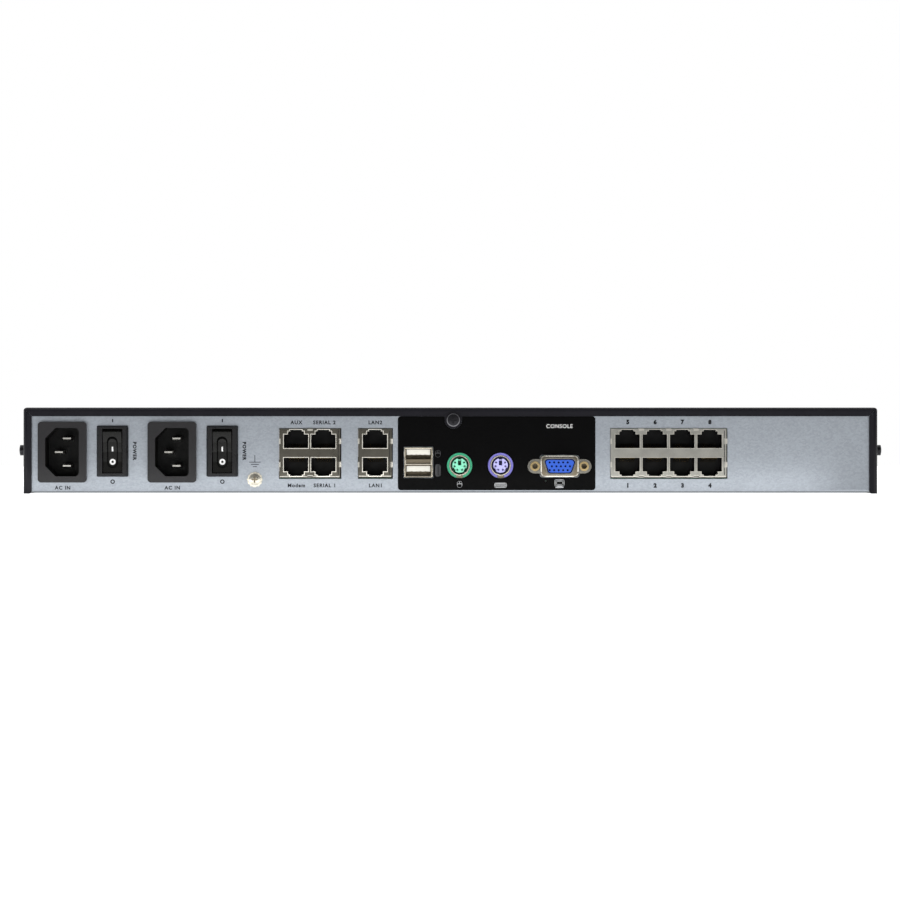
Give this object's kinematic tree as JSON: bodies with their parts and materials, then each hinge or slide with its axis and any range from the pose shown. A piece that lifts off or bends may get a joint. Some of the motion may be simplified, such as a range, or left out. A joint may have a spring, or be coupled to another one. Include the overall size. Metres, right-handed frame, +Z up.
{
  "type": "kvm switch",
  "caption": "Rack-mount keyboard, video and mouse switch with two mains supplies, modular jacks and console sockets on its connector panel.",
  "frame": {"origin": "centre of the underside, where the whole outline's box meets the surface it stands on", "axes": "+X to the right across the connector panel seen from behind, +Y from the connector panel to the indicator panel, +Z up"},
  "size_m": [0.4416, 0.41, 0.044],
  "materials": {
    "cover_black": "matt black powder coat",
    "galvanised_steel": "galvanised sheet, fine spangle",
    "bezel_black": "fine texture",
    "overlay_black": "satin printed film",
    "black_screws": "black oxide",
    "nickel_screws": "nickel plate",
    "zinc_steel": "zinc plate",
    "board_green": "solder mask",
    "chip_black": "moulded epoxy",
    "capacitor_sleeve": "shrink sleeve",
    "heatsink_aluminium": "extruded",
    "cell_steel": "stamped",
    "brass": "machined",
    "jack_shield": "tin plate",
    "jack_plastic": "moulded",
    "gold_contacts": "gold plate",
    "nickel_shell": "nickel plate",
    "usb_ivory": "moulded",
    "mouse_green": "moulded",
    "keyboard_purple": "moulded",
    "socket_insert": "moulded, tinted to match each collar",
    "screen_blue": "moulded",
    "inlet_plastic": "moulded",
    "rocker_plastic": "moulded",
    "transformer_tape": "polyester tape",
    "wire_brown": "insulation",
    "wire_red": "insulation",
    "fan_plastic": "moulded",
    "light_pipe": "clear moulding",
    "button_grey": "moulded",
    "ribbon_grey": "flat cable"
  },
  "bodies": {
    "case": {"top_cover": "cover_black", "chassis_tray": "galvanised_steel", "front_plate": "galvanised_steel", "front_bezel": "bezel_black", "console_overlay": "overlay_black", "cover_rear_screw": "black_screws", "cover_side_screws": "black_screws", "earth_screw": "nickel_screws", "earth_washer": "nickel_screws", "rack_nuts": "zinc_steel", "main_board": "board_green", "main_board_chips": "chip_black", "main_board_capacitors": "capacitor_sleeve", "processor_heatsink": "heatsink_aluminium", "coin_cell": "cell_steel", "coin_cell_holder": "jack_plastic", "board_standoffs": "brass", "board_screws": "zinc_steel", "port_jack_shield": "jack_shield", "port_jack_housing": "jack_plastic", "serial_jack_shield": "jack_shield", "serial_jack_housing": "jack_plastic", "lan_jack_shield": "jack_shield", "lan_jack_housing": "jack_plastic", "jack_contacts": "gold_contacts", "usb_shell": "nickel_shell", "usb_tongues": "usb_ivory", "mouse_socket": "mouse_green", "keyboard_socket": "keyboard_purple", "din_inserts": "socket_insert", "din_shields": "nickel_shell", "vga_shell": "nickel_shell", "vga_insulator": "screen_blue", "vga_jackscrews": "brass", "inlet_left": "inlet_plastic", "inlet_right": "inlet_plastic", "inlet_pins": "nickel_screws", "switch_body_left": "inlet_plastic", "switch_body_right": "inlet_plastic", "switch_terminals": "brass", "supply_boards": "board_green", "supply_transformers": "transformer_tape", "supply_capacitors": "capacitor_sleeve", "supply_heatsinks": "heatsink_aluminium", "mains_wiring": "wire_brown", "dc_harness": "wire_red", "fan_frames": "fan_plastic", "fan_leads": "wire_red", "indicator_board": "board_green", "indicator_screws": "zinc_steel", "indicator_lights": "light_pipe", "button_switches": "chip_black", "front_ribbon": "ribbon_grey", "bezel_screws": "zinc_steel"},
    "rocker_left": {"rocker_left": "rocker_plastic"},
    "rocker_right": {"rocker_right": "rocker_plastic"},
    "fan_rotor_rear": {"fan_rotor_rear": "fan_plastic"},
    "fan_rotor_front": {"fan_rotor_front": "fan_plastic"},
    "select_button": {"select_button": "button_grey"},
    "reset_button": {"reset_button": "button_grey"}
  },
  "joints": [
    {"name": "rocker_left_tilt", "type": "hinge", "parent": "case", "child": "rocker_left", "pos_m": [-0.1724, -0.1984, 0.0217], "axis": [-1, 0, 0], "range_deg": [0, 20]},
    {"name": "rocker_right_tilt", "type": "hinge", "parent": "case", "child": "rocker_right", "pos_m": [-0.1164, -0.1984, 0.0217], "axis": [-1, 0, 0], "range_deg": [0, 20]},
    {"name": "fan_rear_spin", "type": "hinge", "parent": "case", "child": "fan_rotor_rear", "pos_m": [0.2058, -0.07, 0.0219], "axis": [1, 0, 0], "continuous": true},
    {"name": "fan_front_spin", "type": "hinge", "parent": "case", "child": "fan_rotor_front", "pos_m": [0.2058, -0.022, 0.0219], "axis": [1, 0, 0], "continuous": true},
    {"name": "select_button_press", "type": "slide", "parent": "case", "child": "select_button", "axis": [0, -1, 0], "range_m": [0, 0.0005], "stiffness_N_per_m": 1200, "springref_m": -0.0005},
    {"name": "reset_button_press", "type": "slide", "parent": "case", "child": "reset_button", "axis": [0, -1, 0], "range_m": [0, 0.0005], "stiffness_N_per_m": 1200, "springref_m": -0.0005}
  ]
}
